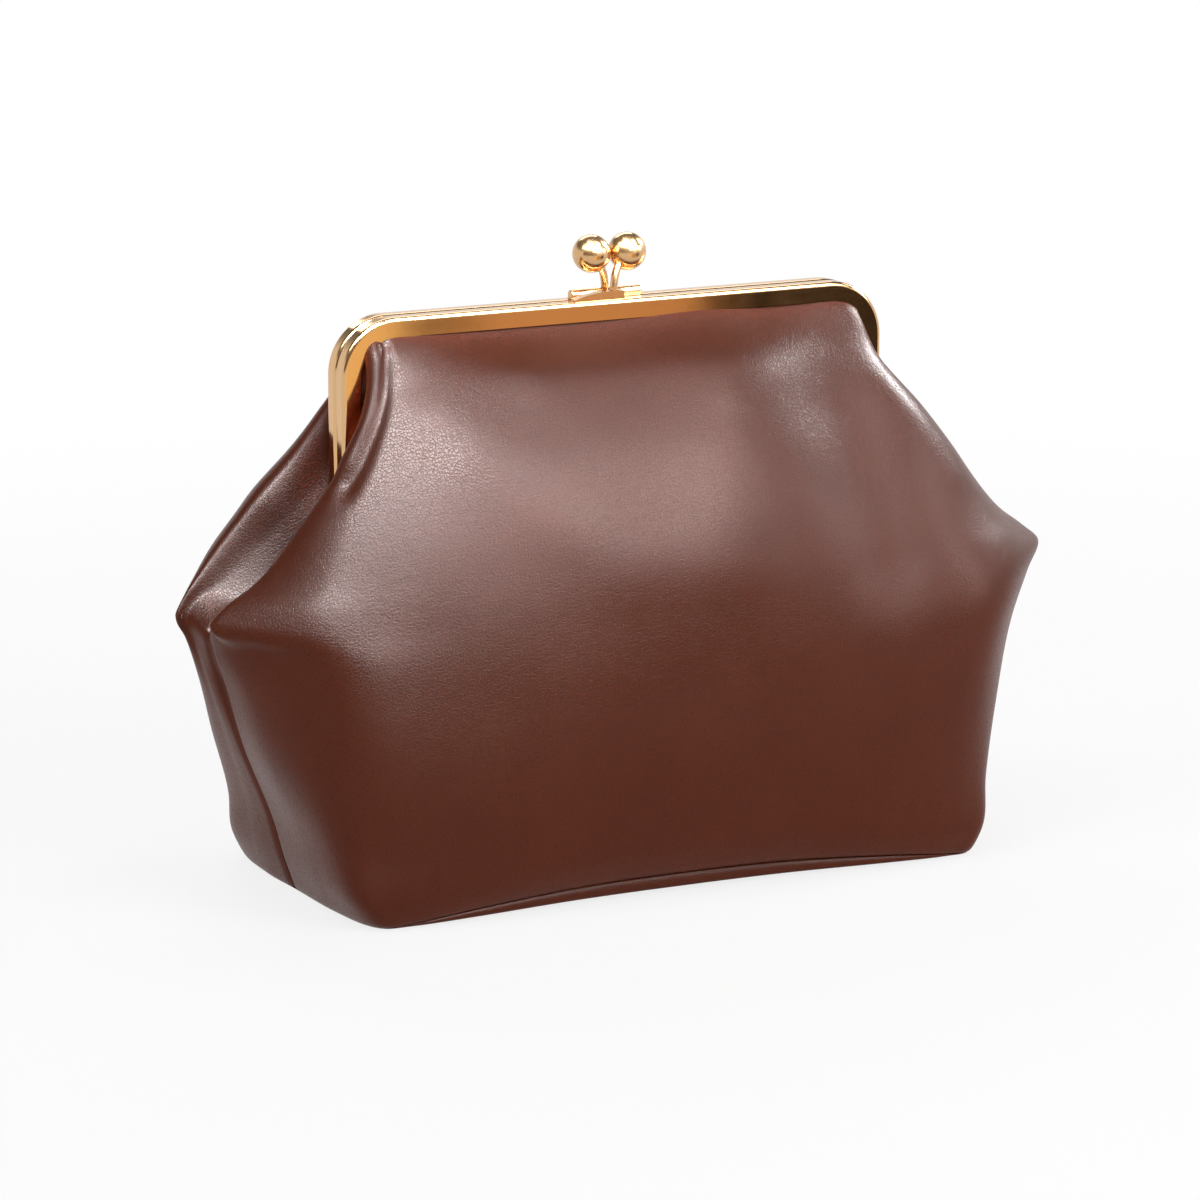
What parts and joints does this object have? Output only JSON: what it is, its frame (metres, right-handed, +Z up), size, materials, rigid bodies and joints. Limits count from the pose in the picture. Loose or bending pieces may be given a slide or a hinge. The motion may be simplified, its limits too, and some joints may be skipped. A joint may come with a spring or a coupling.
{
  "type": "kiss lock frame purse",
  "caption": "Soft leather purse on a hinged metal frame: folded sides, flat base, lined pocket, and a kiss lock of crossed balls that snap the frame shut.",
  "frame": {"origin": "middle of the base's underside, where the purse stands", "axes": "+Z up, +X along the frame to the right as seen from the front, front towards -Y"},
  "size_m": [0.3102, 0.1314, 0.2124],
  "materials": {
    "frame_gold": "polished plating",
    "clasp_gold": "mirror polished plating",
    "hinge_gold": "plated, lightly worn",
    "leather": "smooth, semi-gloss",
    "lining": "plain cotton twill",
    "board": "raw board",
    "cord": "twisted paper"
  },
  "bodies": {
    "bag": {"left_hinge_rivet": "hinge_gold", "right_hinge_rivet": "hinge_gold", "front_panel": "leather", "back_panel": "leather", "front_lining": "lining", "back_lining": "lining", "base_panel": "leather", "base_board": "board", "base_lining": "lining"},
    "front_half": {"front_frame": "frame_gold", "front_hinge_plate": "hinge_gold", "front_paper_cord": "cord", "front_clasp_foot": "clasp_gold", "front_panel_top": "leather"},
    "back_half": {"back_frame": "frame_gold", "back_hinge_plate": "hinge_gold", "back_paper_cord": "cord", "back_clasp_bar": "clasp_gold", "back_panel_top": "leather"},
    "front_clasp": {"front_clasp_stem": "clasp_gold", "front_clasp_ball": "clasp_gold"},
    "back_clasp": {"back_clasp_stem": "clasp_gold", "back_clasp_ball": "clasp_gold"}
  },
  "joints": [
    {"name": "front_opening", "type": "hinge", "parent": "bag", "child": "front_half", "pos_m": [0, 0, 0.128], "axis": [1, 0, 0], "range_deg": [0, 40]},
    {"name": "back_opening", "type": "hinge", "parent": "bag", "child": "back_half", "pos_m": [0, 0, 0.128], "axis": [-1, 0, 0], "range_deg": [0, 40]},
    {"name": "front_snap", "type": "hinge", "parent": "front_half", "child": "front_clasp", "pos_m": [0, -0.0033, 0.1924], "axis": [0, 1, 0], "range_deg": [0, 6], "stiffness_Nm_per_rad": 0.4},
    {"name": "back_snap", "type": "hinge", "parent": "back_half", "child": "back_clasp", "pos_m": [0, 0.0033, 0.1924], "axis": [0, -1, 0], "range_deg": [0, 6], "stiffness_Nm_per_rad": 0.4}
  ],
  "couplings": [
    {"joint": "back_opening", "follows": "front_opening", "ratio": 1}
  ]
}
